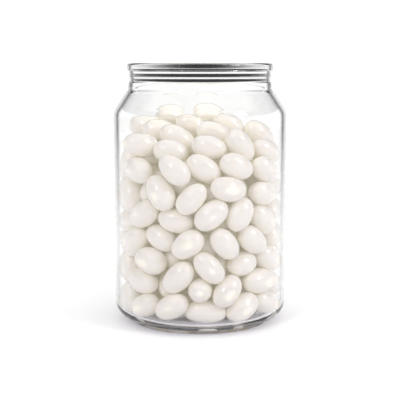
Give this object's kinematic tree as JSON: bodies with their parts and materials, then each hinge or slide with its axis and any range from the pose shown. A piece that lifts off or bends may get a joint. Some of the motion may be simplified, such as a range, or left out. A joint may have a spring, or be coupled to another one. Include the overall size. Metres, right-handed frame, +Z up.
{
  "type": "jar of jelly beans",
  "caption": "Open clear glass storage jar with a banded neck and a stepped foot, filled with glossy white ovoid jelly beans up to a low mound at its shoulder.",
  "frame": {"origin": "centre of the foot ring, on the surface that the jar stands on", "axes": "+Z up along the jar's axis, towards its mouth; X and Y are alike, as the jar is round"},
  "size_m": [0.1, 0.1, 0.15],
  "materials": {
    "clear_glass": "smooth, colourless and clear",
    "white_sugar_shell": "polished sugar shell, warm white"
  },
  "bodies": {
    "root": {"glass_jar": "clear_glass", "jelly_bean_heap": "white_sugar_shell"}
  },
  "joints": []
}
